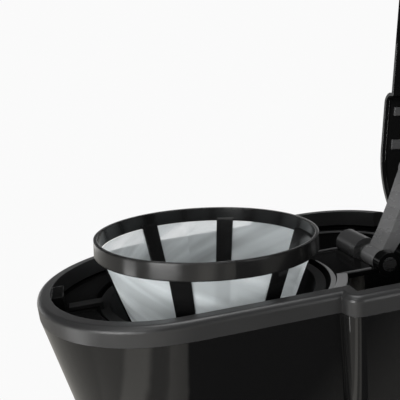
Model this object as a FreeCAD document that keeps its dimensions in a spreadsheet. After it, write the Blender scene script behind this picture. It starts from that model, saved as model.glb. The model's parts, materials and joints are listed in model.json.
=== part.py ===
import FreeCAD, Part
import math
import os
import types
import Sketcher

doc = FreeCAD.newDocument("DripCoffeeMaker")
V = FreeCAD.Vector

# Driving sizes in millimetres and degrees. Plan sizes count from the brew axis.
SIZES = {
    "wall": 2.5,
    "move_gap": 0.5,
    "running_gap": 0.06,
    "rest_gap": 0.3,
    "lift_gap": 0.8,
    # body plan and levels
    "half_width": 78.5,
    "step_in": 8.5,
    "step_y": 44.7,
    "step_round": 7,
    "rear_reach": 137,
    "rear_corner": 54,
    "base_front": 88,
    "base_flat": 6.5,
    "base_height": 40,
    "base_round": 3,
    "head_front": 93.3,
    "head_flat": 1,
    "head_lean": 15.5,
    "head_clear": 4.8,
    "bay_edge": 2,
    "rim_z": 285,
    "rim_height": 9.5,
    "rim_width": 7.2,
    "rim_round": 3,
    # underside
    "foot_height": 4,
    "foot_radius": 8,
    "foot_in_side": 22.5,
    "foot_in_front": 42,
    "foot_in_rear": 33,
    "cover_thick": 2.5,
    "screw_in": 38.5,
    "screw_head": 4,
    "screw_head_height": 2,
    "screw_shank": 1.6,
    "screw_length": 9,
    "vent_width": 3,
    "vent_length": 34,
    "vent_pitch": 8,
    "vent_count": 5,
    # switch, lamp and cord gland
    "switch_y": 14,
    "switch_z": 25,
    "switch_length": 30,
    "switch_height": 19,
    "switch_rim": 2.4,
    "switch_proud": 1.6,
    "rocker_depth": 9,
    "axle_seat": 1,
    "lens_radius": 3,
    "lens_gap": 12,
    "gland_x": 14,
    "gland_z": 22,
    "gland_radius": 7,
    "gland_bore": 3.6,
    # warming plate and heater
    "plate_in": 2,
    "plate_thick": 2,
    "plate_lip": 2.2,
    "plate_dish": 0.1,
    "plate_clear": 1.5,
    "seal_width": 3,
    "seal_in": 0.5,
    "seal_thick": 2,
    "spreader_gap": 6,
    "heater_tube": 5.5,
    "spreader_margin": 11,
    "spreader_thick": 2.6,
    "bracket_width": 16,
    "bracket_thick": 2,
    "stat_radius": 8,
    "stat_height": 9,
    "fuse_radius": 2.7,
    # tank, gauge and hoses
    "tank_floor": 62,
    "tank_wall": 2,
    "tank_gap": 1.2,
    "window_y": 78,
    "window_width": 11,
    "window_low": 96,
    "window_height": 150,
    "window_proud": 1,
    "hose_radius": 5,
    "hose_bore": 3.4,
    "hose_bend": 12,
    "hose_in": 10,
    # deck of the brew head
    "deck_drop": 10.9,
    "deck_thick": 2.5,
    "deck_gap": 1.25,
    "well_edge": 5.6,
    "well_depth": 6.5,
    "well_lip": 5,
    "bridge_half": 22.4,
    "bridge_overlap": 7.5,
    "bridge_tail": 15,
    "latch_half": 9,
    "latch_depth": 6,
    "latch_gap": 0.7,
    # water arm
    "pivot_y": 93,
    "pivot_rise": 2.7,
    "barrel_radius": 8,
    "barrel_length": 23,
    "spigot_radius": 4,
    "hub_radius": 6,
    "arm_near": 5.2,
    "arm_width": 14.2,
    "arm_length": 58,
    "arm_thick": 8,
    "arm_lean": 26,
    "arm_curl": 13,
    "arm_pin_length": 7,
    "pin_seat": 5.7,
    "seal_flat": 0.8,
    "nozzle_radius": 3,
    # lid and hinge
    "lid_height": 48,
    "lid_round": 6,
    "lid_wall": 2.2,
    "lid_open": 96.5,
    "lid_rib": 18,
    "lid_rib_thick": 2.4,
    "lid_rib_gap": 11,
    "liner_thick": 1.8,
    "liner_inset": 16,
    "hinge_in": 6,
    "hinge_drop": 10,
    "hinge_pin_radius": 2,
    "knuckle_radius": 6.2,
    "knuckle_start": 31,
    "knuckle_width": 12,
    "notch_half": 48,
    "notch_drop": 19,
    "block_height": 7.5,
    # filter and basket
    "ring_inset": 10,
    "ring_rise": 20,
    "band_height": 8.3,
    "band_thick": 2,
    "band_flare": 0.4,
    "filter_tilt": 4,
    "filter_height": 88,
    "filter_taper": 28,
    "foot_band": 7,
    "rib_width": 10.5,
    "rib_foot_width": 8,
    "rib_thick": 1.6,
    "rib_spread": 24.9,
    "side_rib_width": 26,
    "mesh_thick": 0.4,
    "basket_wall": 2,
    "basket_room": 10,
    "spout_radius": 11,
    "spout_length": 11,
    "drain_radius": 5,
    "grip_half": 3.5,
    "grip_gap": 1.6,
    "cap_thick": 1.5,
    "cap_holes": 6,
    "cap_circle": 5,
    "valve_stem": 3,
    "valve_head": 7.6,
    "valve_drop": 9,
    "spring_wire": 0.4,
    "spring_radius": 4.6,
    "spring_turns": 4,
    # carafe
    "glass_gap": 6,
    "glass_wall": 2.2,
    "glass_foot": 48,
    "glass_neck": 44,
    "glass_mouth": 49,
    "belly_z": 46,
    "belly_round": 36,
    "foot_round": 7,
    "carafe_clear": 12.2,
    "neck_drop": 20,
    "band_width": 10,
    "band_wall": 1.2,
    "carafe_lid_height": 12,
    "carafe_lid_wall": 2,
    "handle_reach": 46,
    "handle_width": 18,
    "handle_thick": 13,
    "handle_low": 26,
    "handle_round": 3,
    "handle_bend": 9,
}

dims = doc.addObject("Spreadsheet::Sheet", "dims")
for row, (alias, number) in enumerate(SIZES.items(), 1):
    dims.set(f"A{row}", str(number))
    dims.setAlias(f"A{row}", alias)
doc.recompute()


class Size:
    # a number together with the sheet expression it comes from
    def __init__(self, value, text=None):
        self.value = float(value)
        self.text = text or repr(float(value))

    def join(self, other, sign, value, swap=False):
        other = as_size(other)
        first, second = (other, self) if swap else (self, other)
        return Size(value(first.value, second.value), f"({first.text} {sign} {second.text})")

    def __add__(self, other):
        return self.join(other, "+", lambda a, b: a + b)

    def __radd__(self, other):
        return self.join(other, "+", lambda a, b: a + b, True)

    def __sub__(self, other):
        return self.join(other, "-", lambda a, b: a - b)

    def __rsub__(self, other):
        return self.join(other, "-", lambda a, b: a - b, True)

    def __mul__(self, other):
        return self.join(other, "*", lambda a, b: a * b)

    def __rmul__(self, other):
        return self.join(other, "*", lambda a, b: a * b, True)

    def __truediv__(self, other):
        return self.join(other, "/", lambda a, b: a / b)

    def __neg__(self):
        return Size(-self.value, f"(-1 * {self.text})")

    def __float__(self):
        return self.value


def as_size(value):
    return value if isinstance(value, Size) else Size(value)


def bind(obj, path, size):
    obj.setExpression(path, as_size(size).text)


s = types.SimpleNamespace(**{alias: Size(dims.get(alias), f"dims.{alias}") for alias in SIZES})
ZERO = Size(0)
NEAR = 1e-3

# Places and fits that several pieces share.
head_half = s.half_width - s.step_in
base_corner = s.half_width - s.base_flat
head_corner = head_half - s.head_flat
bay_radius = head_half - s.bay_edge
well_radius = head_half - s.well_edge
ring_radius = head_half - s.ring_inset
glass_radius = bay_radius - s.glass_gap
plate_radius = glass_radius - s.plate_in
spreader_radius = plate_radius - s.seal_width - s.spreader_gap
heater_radius = spreader_radius - s.spreader_margin
head_inner = head_half - s.wall
bridge_start = head_inner - s.bridge_overlap
rear_inner = s.half_width - s.wall
rear_inside = s.rear_reach - s.wall
hinge_y = s.rear_reach - s.hinge_in
floor_z = s.foot_height
base_top = floor_z + s.base_height
rim_low = s.rim_z - s.rim_height
deck_z = s.rim_z - s.deck_drop
deck_low = deck_z - s.deck_thick
hinge_z = s.rim_z - s.hinge_drop
notch_z = s.rim_z - s.notch_drop
pivot_z = deck_z + s.pivot_rise
lid_low = s.rim_z + s.move_gap
seal_top = base_top + s.seal_thick
plate_low = seal_top - s.plate_thick
plate_top = base_top + s.plate_lip
carafe_low = plate_top + s.rest_gap
loop_z = plate_low - s.spreader_thick - s.heater_tube
latch_y = s.rim_width - s.head_front + s.latch_gap
hose_x = s.hose_in - s.barrel_length
lug_start = s.arm_near + s.arm_width + s.move_gap
lug_length = s.arm_pin_length - s.move_gap

# The tilted filter's lowest point sets the basket's floor, and that sets the head's underside.
tilt = math.radians(float(s.filter_tilt))
filter_foot = ring_radius - s.band_thick - s.filter_taper
basket_floor = filter_foot + s.basket_room
basket_top = well_radius - s.well_lip - s.lift_gap
filter_drop = s.filter_height * math.cos(tilt) + filter_foot * math.sin(tilt)
basket_z = s.rim_z + s.ring_rise - filter_drop - s.rest_gap
spout_z = basket_z - s.basket_wall - s.spout_length
head_low = spout_z - s.head_clear
carafe_lip = head_low - s.carafe_clear - s.carafe_lid_height / 2
mouth_z = carafe_lip - s.rest_gap
neck_z = mouth_z - s.neck_drop

# The brew axis is set off from the part's origin, which lies under the middle of the whole.
swing = math.radians(float(s.lid_open))
lid_tip = float(hinge_y + s.head_front - s.lid_round)
lid_rise = float(s.lid_height + s.hinge_drop + s.move_gap - s.lid_round)
rear_most = float(hinge_y + s.lid_round) - lid_tip * math.cos(swing) + lid_rise * math.sin(swing)
axis_y = Size((float(glass_radius + s.handle_reach) - rear_most) / 2)

nodes = {}


def keep(obj, label):
    # a finished piece stands on the brew axis
    obj.Label = label
    bound = [(path, text) for path, text in obj.ExpressionEngine if path.endswith("Placement.Base.y")]
    for path, text in bound:
        obj.setExpression(path, f"{text} + {axis_y.text}")
    if not bound:
        base = obj.Placement.Base
        obj.Placement = FreeCAD.Placement(base + V(0, float(axis_y), 0), obj.Placement.Rotation)
    nodes[label] = obj


def new_body(name):
    return doc.addObject("PartDesign::Body", name)


def sketch_on(body, name, role, height=ZERO):
    sketch = body.newObject("Sketcher::SketchObject", name)
    face = next(f for f in body.Origin.OriginFeatures if f.Role == role)
    sketch.AttachmentSupport = [(face, "")]
    sketch.MapMode = "FlatFace"
    bind(sketch, ".AttachmentOffset.Base.z", height)
    return sketch


def pin_point(sketch, geo, x, y):
    # holds the start of one line at its bound distances from the sketch's own axes
    for kind, size, axis in (("DistanceX", x, -2), ("DistanceY", y, -1)):
        if abs(float(size)) < NEAR:
            sketch.addConstraint(Sketcher.Constraint("PointOnObject", geo, 1, axis))
        else:
            index = sketch.addConstraint(Sketcher.Constraint(kind, -1, 1, geo, 1, float(size)))
            bind(sketch, f"Constraints[{index}]", size)


def draw(sketch, points):
    points = [(as_size(x), as_size(y)) for x, y in points]
    flat = [V(float(x), float(y), 0) for x, y in points]
    sketch.addGeometry([Part.LineSegment(a, b) for a, b in zip(flat, flat[1:] + flat[:1])], False)
    for i in range(len(points)):
        sketch.addConstraint(Sketcher.Constraint("Coincident", i, 2, (i + 1) % len(points), 1))
    for i, (x, y) in enumerate(points):
        pin_point(sketch, i, x, y)


def pad(body, sketch, length, midplane=False):
    feature = body.newObject("PartDesign::Pad", sketch.Name + "Pad")
    feature.Profile = sketch
    feature.Midplane = midplane
    bind(feature, "Length", length)
    doc.recompute()


def turned(name, points):
    # a piece turned about the upright axis from its half section, as radius and height
    body = new_body(name)
    sketch = sketch_on(body, name + "Section", "XZ_Plane")
    draw(sketch, points)
    feature = body.newObject("PartDesign::Revolution", name + "Spin")
    feature.Profile = sketch
    feature.ReferenceAxis = (sketch, ["V_Axis"])
    feature.Angle = 360
    doc.recompute()
    return body


def rounded(body, name, radius, test):
    tip = body.Tip
    feature = body.newObject("PartDesign::Fillet", name)
    feature.Base = (tip, [f"Edge{i}" for i, edge in enumerate(tip.Shape.Edges, 1) if test(edge)])
    feature.UseAllEdges = False
    bind(feature, "Radius", radius)
    doc.recompute()


def upright_at(x, y):
    # picks edges that climb from one plan corner, on either side
    def test(edge):
        ends = [v.Point for v in edge.Vertexes]
        if len(ends) < 2 or abs(ends[0].z - ends[1].z) < NEAR:
            return False
        return any(abs(abs(p.x) - float(x)) < NEAR and abs(p.y - float(y)) < NEAR for p in ends)
    return test


def level_at(height):
    def test(edge):
        return max(abs(z - float(height)) for z in (edge.BoundBox.ZMin, edge.BoundBox.ZMax)) < NEAR
    return test


def hoop_at(radius, height):
    level = level_at(height)
    return lambda edge: level(edge) and abs(edge.BoundBox.XMax - float(radius)) < NEAR


def box(name, low, high):
    obj = doc.addObject("Part::Box", name)
    for side, a, b, axis in zip(("Length", "Width", "Height"), low, high, "xyz"):
        bind(obj, side, b - a)
        bind(obj, f"Placement.Base.{axis}", a)
    return obj


def drum(name, radius, start, length, axis="z"):
    obj = doc.addObject("Part::Cylinder", name)
    bind(obj, "Radius", radius)
    bind(obj, "Height", length)
    ways = {"x": V(1, 0, 0), "y": V(0, 1, 0), "z": V(0, 0, 1)}
    obj.Placement = FreeCAD.Placement(V(0, 0, 0), FreeCAD.Rotation(ways["z"], ways[axis]))
    for way, place in zip(ways, start):
        bind(obj, f"Placement.Base.{way}", place)
    return obj


def cut(name, base, *tools):
    for i, tool in enumerate(tools):
        obj = doc.addObject("Part::Cut", f"{name}Cut{i}")
        obj.Base = base
        obj.Tool = tool
        obj.Refine = True
        base = obj
    doc.recompute()
    return base


def fuse(name, *pieces):
    obj = doc.addObject("Part::MultiFuse", name + "Fuse")
    obj.Shapes = list(pieces)
    obj.Refine = True
    doc.recompute()
    return obj


def group(name, *pieces):
    obj = doc.addObject("Part::Compound", name + "Group")
    obj.Links = list(pieces)
    doc.recompute()
    return obj


def formed(name, shape):
    obj = doc.addObject("Part::Feature", name)
    obj.Shape = shape
    return obj


def four_sided(half, front, rear):
    return [(-half, front), (half, front), (half, rear), (-half, rear)]


def slab(name, points, low, height, corners=()):
    # an upright prism with its plan corners rounded, each by its own radius
    body = new_body(name)
    sketch = sketch_on(body, name + "Plan", "XY_Plane", low)
    draw(sketch, points)
    pad(body, sketch, height)
    for i, (x, y, radius) in enumerate(corners):
        rounded(body, f"{name}Round{i}", radius, upright_at(x, y))
    return body


def base_slab(name, inset, height):
    half, front, rear = s.half_width - inset, inset - s.base_front, s.rear_reach - inset
    corners = [(half, front, base_corner - inset), (half, rear, s.rear_corner - inset)]
    return slab(name, four_sided(half, front, rear), floor_z, height, corners)


def rear_slab(name, inset, low, height, step_round=None):
    half, front, rear = s.half_width - inset, s.step_y + inset, s.rear_reach - inset
    corners = [(half, rear, s.rear_corner - inset)]
    if step_round:
        corners.append((half, front, step_round))
    return slab(name, four_sided(half, front, rear), low, height, corners)


def top_slab(name, inset, low, height, step_round=None):
    # plan of the top: narrow head in front, wide tank behind a step
    half, head = s.half_width - inset, head_half - inset
    front, step, rear = inset - s.head_front, s.step_y + inset, s.rear_reach - inset
    points = [(-head, front), (head, front), (head, step), (half, step),
              (half, rear), (-half, rear), (-half, step), (-head, step)]
    corners = [(head, front, head_corner - inset), (half, rear, s.rear_corner - inset)]
    if step_round:
        corners.append((half, step, step_round))
    return slab(name, points, low, height, corners)


def foot_places(side):
    front, rear = s.foot_in_front - s.base_front, s.rear_reach - s.foot_in_rear
    return [(x, y) for x in (-side, side) for y in (front, rear)]


def base_pieces():
    shell = base_slab("baseOuter", ZERO, s.base_height)
    rounded(shell, "baseCrown", s.base_round, level_at(base_top))
    room = base_slab("baseRoom", s.wall, s.base_height - s.wall)
    plate_hole = drum("plateHole", plate_radius - s.seal_width, (ZERO, ZERO, floor_z), s.base_height)
    side, gap = heater_radius + s.hose_radius * 2, s.hose_radius * 2
    pipe_hole = box("pipeHole", (-side, s.pivot_y - s.hose_bend - s.hose_radius, base_top - s.wall),
                    (side, s.pivot_y + gap, base_top))
    long, tall = s.switch_length / 2, s.switch_height / 2
    inside = rear_inner - s.wall
    switch_hole = box("switchHole", (inside, s.switch_y - long, s.switch_z - tall),
                      (s.half_width + s.wall, s.switch_y + long, s.switch_z + tall))
    lens_place = (inside, s.switch_y + long + s.lens_gap, s.switch_z)
    lens_hole = drum("lensHole", s.lens_radius, lens_place, s.wall * 3, "x")
    gland_place = (s.gland_x, rear_inside - s.wall, s.gland_z)
    gland_hole = drum("glandHole", s.gland_radius - s.wall, gland_place, s.wall * 3, "y")
    keep(cut("baseShell", shell, room, plate_hole, pipe_hole, switch_hole, lens_hole, gland_hole),
         "base_shell")
    keep(drum("lensStem", s.lens_radius, lens_place, s.wall * 2 + s.switch_proud, "x"), "power_lens")

    collar = drum("glandCollar", s.gland_radius, (s.gland_x, s.rear_reach, s.gland_z), s.wall, "y")
    neck = drum("glandNeck", s.gland_radius - s.wall, gland_place, s.wall * 2, "y")
    bore = drum("glandBore", s.gland_bore, gland_place, s.wall * 3, "y")
    keep(cut("gland", fuse("glandWhole", collar, neck), bore), "cord_gland")


def underside_pieces():
    cover = base_slab("coverPlate", s.wall, s.cover_thick)
    places = foot_places(s.half_width - s.screw_in)
    cuts = [drum(f"screwHole{i}", s.screw_shank, (x, y, floor_z), s.cover_thick) for i,
            (x, y) in enumerate(places)]
    for i in range(int(float(s.vent_count))):
        x = s.vent_pitch * i - s.vent_pitch * (s.vent_count - 1) / 2 - s.vent_width / 2
        cuts.append(box(f"vent{i}", (x, -s.vent_length / 2, floor_z),
                        (x + s.vent_width, s.vent_length / 2, floor_z + s.cover_thick)))
    keep(cut("baseCover", cover, *cuts), "base_cover")
    feet = [drum(f"foot{i}", s.foot_radius, (x, y, ZERO), s.foot_height)
            for i, (x, y) in enumerate(foot_places(s.half_width - s.foot_in_side))]
    keep(group("rubberFeet", *feet), "rubber_feet")
    screws = []
    for i, (x, y) in enumerate(places):
        low = floor_z - s.screw_head_height
        head = drum(f"screwHead{i}", s.screw_head, (x, y, low), s.screw_head_height)
        shank = drum(f"screwShank{i}", s.screw_shank, (x, y, low), s.screw_length)
        screws.append(fuse(f"screw{i}", head, shank))
    keep(group("coverScrews", *screws), "cover_screws")


def switch_pieces():
    rim, gap = s.switch_rim, s.move_gap
    long, tall = s.switch_length / 2, s.switch_height / 2
    back, face = rear_inner - s.rocker_depth, s.half_width + s.switch_proud
    block = box("bezelBlock", (back, s.switch_y - long, s.switch_z - tall),
                (face, s.switch_y + long, s.switch_z + tall))
    mouth = box("bezelMouth", (back + rim, s.switch_y - long + rim, s.switch_z - tall + rim),
                (face, s.switch_y + long - rim, s.switch_z + tall - rim))
    axle_x, axle_low = s.half_width - s.rocker_depth / 2, s.switch_z - tall + rim - s.axle_seat
    axle_length = s.switch_height - rim * 2 + s.axle_seat * 2
    socket = drum("rockerSocket", s.screw_shank + s.running_gap,
                  (axle_x, s.switch_y, axle_low - gap / 2), axle_length + gap)
    keep(cut("switchBezel", block, mouth, socket), "switch_bezel")

    cap = new_body("rockerCap")
    outline = sketch_on(cap, "rockerOutline", "XY_Plane", s.switch_z - tall + rim + gap)
    reach = long - rim - gap * 3
    waist = face - s.rocker_depth / 2
    draw(outline, [(waist, s.switch_y - reach + gap), (face, s.switch_y - reach),
                   (face - gap, s.switch_y),
                   (face + gap, s.switch_y + reach), (waist, s.switch_y + reach - gap),
                   (face - s.rocker_depth + gap, s.switch_y)])
    pad(cap, outline, s.switch_height - rim * 2 - gap * 2)
    axle = drum("rockerAxle", s.screw_shank, (axle_x, s.switch_y, axle_low), axle_length)
    keep(fuse("rocker", cap, axle), "switch_rocker")


def heater_pieces():
    edge, dish = plate_radius, plate_top - s.plate_dish
    core = edge - s.seal_width - s.plate_clear
    keep(turned("hotPlate", [(0, plate_low), (core, plate_low), (core, seal_top), (edge, seal_top),
                             (edge, plate_top),
                             (edge - s.seal_width, plate_top), (edge - s.seal_width * 2, dish),
                             (0, dish)]), "hot_plate")
    inner, outer = edge - s.seal_width, edge - s.seal_in
    keep(turned("plateSeal", [(inner, base_top), (outer, base_top), (outer, seal_top),
                              (inner, seal_top)]), "plate_seal")
    spreader_low = plate_low - s.spreader_thick
    keep(drum("spreader", spreader_radius, (ZERO, ZERO, spreader_low), s.spreader_thick), "heat_spreader")
    tube = doc.addObject("Part::Torus", "heaterLoop")
    bind(tube, "Radius1", heater_radius)
    bind(tube, "Radius2", s.heater_tube)
    tube.Angle3 = 180
    tube.Placement = FreeCAD.Placement(V(0, 0, 0), FreeCAD.Rotation(V(0, 0, 1), 180))
    bind(tube, "Placement.Base.z", loop_z)
    keep(tube, "heater_tube")
    half, top = s.bracket_width / 2, loop_z - s.heater_tube
    low = top - s.bracket_thick
    keep(box("heaterStrap", (-half, -plate_radius, low), (half, plate_radius, top)), "heater_bracket")
    keep(drum("statBody", s.stat_radius, (ZERO, ZERO, low - s.stat_height), s.stat_height), "thermostat")
    fuses = [drum(f"fuse{i}", s.fuse_radius, (x, heater_radius / 2, low - s.fuse_radius),
                  s.stat_radius * 2, "y")
             for i, x in enumerate((-half / 2, half / 2))]
    keep(group("fusePair", *fuses), "thermal_fuses")


def rear_pieces():
    height = rim_low - base_top
    outer = rear_slab("rearOuter", ZERO, base_top, height, s.step_round)
    bay = drum("rearBay", bay_radius, (ZERO, ZERO, base_top), height)
    skin = drum("rearSkin", bay_radius + s.wall, (ZERO, ZERO, base_top), height)
    room = cut("rearHollow", rear_slab("rearRoom", s.wall, base_top, height), skin)
    notch = box("hingeNotch", (-s.notch_half, rear_inside - s.wall * 2, notch_z),
                (s.notch_half, s.rear_reach + s.wall, s.rim_z))
    half, sill = s.window_width / 2, s.window_low + s.window_height
    back = s.move_gap - rear_inner
    slot = box("windowSlot", (-s.half_width - s.wall, s.window_y - half, s.window_low),
               (back, s.window_y + half, sill))
    gate = box("bridgeGate", (-s.bridge_half, bridge_start, deck_low),
               (s.bridge_half, s.pivot_y + s.bridge_tail, rim_low))
    keep(cut("rearHousing", outer, bay, room, notch, slot, gate), "rear_housing")
    keep(box("gauge", (-s.half_width - s.window_proud, s.window_y - half, s.window_low),
             (back, s.window_y + half, sill)), "level_window")


def tank_pieces():
    inset, depth = s.wall + s.tank_gap, deck_low - s.tank_floor
    deep = inset + s.tank_wall
    cup = rear_slab("tankOuter", inset, s.tank_floor, depth)
    front = drum("tankFront", bay_radius + inset, (ZERO, ZERO, s.tank_floor), depth)
    well = rear_slab("tankWell", deep, s.tank_floor + s.tank_wall, depth)
    back = drum("tankBack", bay_radius + deep, (ZERO, ZERO, s.tank_floor), depth * 2)
    riser = drum("riserHole", s.hose_radius, (hose_x, s.pivot_y, s.tank_floor), s.tank_wall)
    outlet = drum("outletHole", s.hose_radius, (heater_radius, s.pivot_y, s.tank_floor), s.tank_wall)
    block_y, block_low = rear_inside - s.wall * 2 - s.knuckle_radius, notch_z - s.block_height
    dip = box("tankDip", (-s.notch_half, block_y, block_low), (s.notch_half, s.rear_reach, s.rim_z))
    keep(cut("waterTank", cup, front, cut("tankHollow", well, back), riser, outlet, dip), "water_tank")

    flat = s.half_width - s.rear_corner
    block = box("bracketBlock", (-flat, block_y, block_low), (flat, rear_inside, notch_z))
    start, reach = s.knuckle_start - s.move_gap, s.knuckle_start + s.knuckle_width
    eye = drum("bracketEye", s.knuckle_radius - s.move_gap, (-start, hinge_y, hinge_z), start * 2, "x")
    stand = box("bracketStand", (-start, hinge_y - s.knuckle_radius / 2, notch_z - s.wall),
                (start, hinge_y + s.knuckle_radius / 2, hinge_z))
    shaft = drum("bracketBore", s.hinge_pin_radius, (-start, hinge_y, hinge_z), start * 2, "x")
    keep(cut("hingeBracket", fuse("bracketWhole", block, eye, stand), shaft), "hinge_bracket")
    keep(drum("hingePin", s.hinge_pin_radius, (-reach, hinge_y, hinge_z), reach * 2, "x"), "hinge_pin")


def lean_at(height):
    return s.head_lean * (rim_low - height) / (rim_low - head_low)


def leaning_body(name, inset, low, rear):
    # the head leans in toward its foot at the front, while its sides stay upright
    body = new_body(name)
    half = head_half - inset
    sections = []
    for level in (rim_low, low):
        sketch = sketch_on(body, f"{name}At{len(sections)}", "XY_Plane", level)
        draw(sketch, four_sided(half, inset - s.head_front + lean_at(level), rear))
        sections.append(sketch)
    feature = body.newObject("PartDesign::AdditiveLoft", name + "Loft")
    feature.Profile = sections[0]
    feature.Sections = [sections[1]]
    feature.Ruled = True
    doc.recompute()
    rounded(body, name + "Front", head_corner - inset, upright_at(half, inset - s.head_front))
    return body


def head_pieces():
    outer = leaning_body("headOuter", ZERO, head_low, s.step_y)
    inner = leaning_body("headRoom", s.wall, head_low + s.wall, s.step_y + s.wall)
    sole = drum("headSole", bay_radius, (ZERO, ZERO, head_low), s.wall)
    spout = drum("headSpout", s.spout_radius + s.lift_gap * 2, (ZERO, ZERO, head_low), s.wall)
    keep(cut("headShell", fuse("headWhole", cut("headHollow", outer, inner), sole), spout), "head_shell")

    ring = top_slab("rimOuter", ZERO, rim_low, s.rim_height, s.step_round)
    rounded(ring, "rimCrown", s.rim_round, level_at(s.rim_z))
    mouth = top_slab("rimMouth", s.rim_width, rim_low, s.rim_height * 2)
    notch = box("rimNotch", (-s.notch_half, s.rear_reach - s.rim_width * 2, rim_low),
                (s.notch_half, s.rear_reach * 2, s.rim_z))
    keep(cut("topRim", ring, mouth, notch), "top_rim")
    keep(box("latchBlock", (-s.latch_half, latch_y, rim_low),
             (s.latch_half, latch_y + s.latch_depth, s.rim_z)), "latch_catch")


def deck_pieces():
    front = s.wall - s.head_front + lean_at(deck_low) + s.deck_gap
    plate = slab("deckPlate", four_sided(head_inner, front, s.step_y), deck_low, s.deck_thick,
                 [(head_inner, front, head_corner - s.wall)])
    cup_low = deck_z - s.well_depth
    disc = drum("deckDisc", head_inner, (ZERO, ZERO, deck_low), s.deck_thick)
    cup = drum("deckCup", well_radius + s.wall, (ZERO, ZERO, cup_low), s.well_depth)
    well = drum("deckWell", well_radius, (ZERO, ZERO, cup_low + s.deck_thick), s.well_depth)
    hole = drum("deckHole", well_radius - s.well_lip, (ZERO, ZERO, cup_low), s.well_depth)
    tongue = box("deckTongue", (-s.bridge_half, bridge_start, deck_low),
                 (s.bridge_half, s.pivot_y + s.bridge_tail, deck_z))
    lug = drum("deckLug", s.spigot_radius + s.deck_thick, (lug_start, s.pivot_y, pivot_z), lug_length,
               "x")
    stand = box("deckStand", (lug_start, s.pivot_y - s.spigot_radius, deck_low),
                (lug_start + lug_length, s.pivot_y + s.spigot_radius, pivot_z))
    socket = drum("deckSocket", s.spigot_radius, (lug_start, s.pivot_y, pivot_z), lug_length, "x")
    saddle = drum("deckSaddle", s.barrel_radius, (-s.barrel_length, s.pivot_y, pivot_z),
                  s.barrel_length, "x")
    hub = s.hub_radius + s.move_gap
    slot = box("deckSlot", (ZERO, s.pivot_y - hub, deck_low - s.deck_thick),
               (lug_start, s.pivot_y + hub, deck_z))
    whole = fuse("deckWhole", plate, disc, cup, tongue, lug, stand)
    keep(cut("chamberDeck", whole, well, hole, socket, saddle, slot), "chamber_deck")


def hose(name, points, radius):
    # a tube along straight runs, with a quarter bend at each corner
    stops = [V(*[float(c) for c in p]) for p in points]
    # a bend takes at most half of the run between two corners
    halves = [(b - a).Length / 2 - float(s.move_gap) for a, b in zip(stops[1:], stops[2:-1])]
    bend = min([float(s.hose_bend)] + halves)
    edges, last = [], stops[0]
    for before, corner, after in zip(stops, stops[1:], stops[2:]):
        back, on = (before - corner).normalize(), (after - corner).normalize()
        enter, leave = corner + back * bend, corner + on * bend
        middle = corner + (back + on) * (bend * (1 - math.sqrt(0.5)))
        edges += [Part.makeLine(last, enter), Part.Arc(enter, middle, leave).toShape()]
        last = leave
    path = Part.Wire(edges + [Part.makeLine(last, stops[-1])])
    rings = [Part.makeCircle(float(r), stops[0], stops[1] - stops[0]) for r in (radius, s.hose_bore)]
    tube, core = [path.makePipe(Part.Face(Part.Wire(ring))) for ring in rings]
    return formed(name, tube.cut(core))


def water_pieces():
    side, back, bottom = heater_radius, s.pivot_y, s.tank_floor
    keep(hose("outletHose", [(side, 0, loop_z), (side, back, loop_z), (side, back, bottom)],
              s.hose_radius), "outlet_hose")
    keep(hose("riserHose", [(-side, 0, loop_z), (-side, back, loop_z), (hose_x, back, loop_z),
                            (hose_x, back, pivot_z - s.barrel_radius)], s.hose_radius - s.move_gap),
         "riser_hose")
    valve = drum("checkBody", s.hose_radius, (side, back, bottom), s.tank_wall * 3)
    port = drum("checkPort", s.hose_bore, (side, back, bottom), s.tank_wall * 3)
    keep(cut("checkValve", valve, port), "check_valve")


def arm_pieces():
    barrel = drum("barrelBody", s.barrel_radius, (-s.barrel_length, s.pivot_y, pivot_z),
                  s.barrel_length, "x")
    spigot = drum("barrelSpigot", s.spigot_radius, (ZERO, s.pivot_y, pivot_z),
                  s.arm_near + s.arm_width / 2, "x")
    inlet = drum("barrelInlet", s.hose_bore, (hose_x, s.pivot_y, pivot_z - s.barrel_radius),
                 s.barrel_radius)
    keep(cut("swivelBarrel", fuse("barrelWhole", barrel, spigot), inlet), "swivel_barrel")
    pin_start = s.arm_near + s.arm_width - s.pin_seat
    keep(drum("armPin", s.spigot_radius, (pin_start, s.pivot_y, pivot_z), s.pin_seat + s.arm_pin_length,
              "x"), "arm_pin")
    flat = s.seal_flat * 2
    seal_place = (s.arm_near - s.move_gap - flat, s.pivot_y, pivot_z)
    seal = drum("sealRing", s.spigot_radius + flat, seal_place, flat, "x")
    keep(cut("armSeal", seal, drum("sealHole", s.spigot_radius, seal_place, flat, "x")), "arm_seal")

    # the raised arm curls from its pivot: each station leans less than the one below
    length, half, wide = float(s.arm_length), float(s.arm_thick) / 2, V(float(s.arm_width), 0, 0)
    heart = V(float(s.arm_near), float(s.pivot_y), float(pivot_z))
    front, back = [heart - V(0, half, 0)], [heart + V(0, half, 0)]
    for share in (0.25, 0.5, 0.75, 1):
        lean = math.radians(float(s.arm_lean) + float(s.arm_curl) * (1 - share) ** 2)
        along, across = V(0, math.sin(lean), math.cos(lean)), V(0, math.cos(lean), -math.sin(lean))
        front.append(heart + along * (length * share) - across * half)
        back.append(heart + along * (length * share) + across * half)
    arm = Part.Face(Part.makePolygon(front + back[::-1] + front[:1])).extrude(wide)
    hub, bore = [Part.makeCylinder(float(r), wide.x, heart, wide)
                 for r in (s.hub_radius, s.spigot_radius + s.running_gap)]
    keep(formed("waterArm", arm.fuse(hub).cut(bore).removeSplitter()), "water_arm")
    nozzle = float(s.nozzle_radius)
    root = front[-1] - along * (nozzle * 2) + wide / 2
    keep(formed("armNozzle", Part.makeCylinder(nozzle, nozzle, root, -across)), "arm_nozzle")


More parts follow.
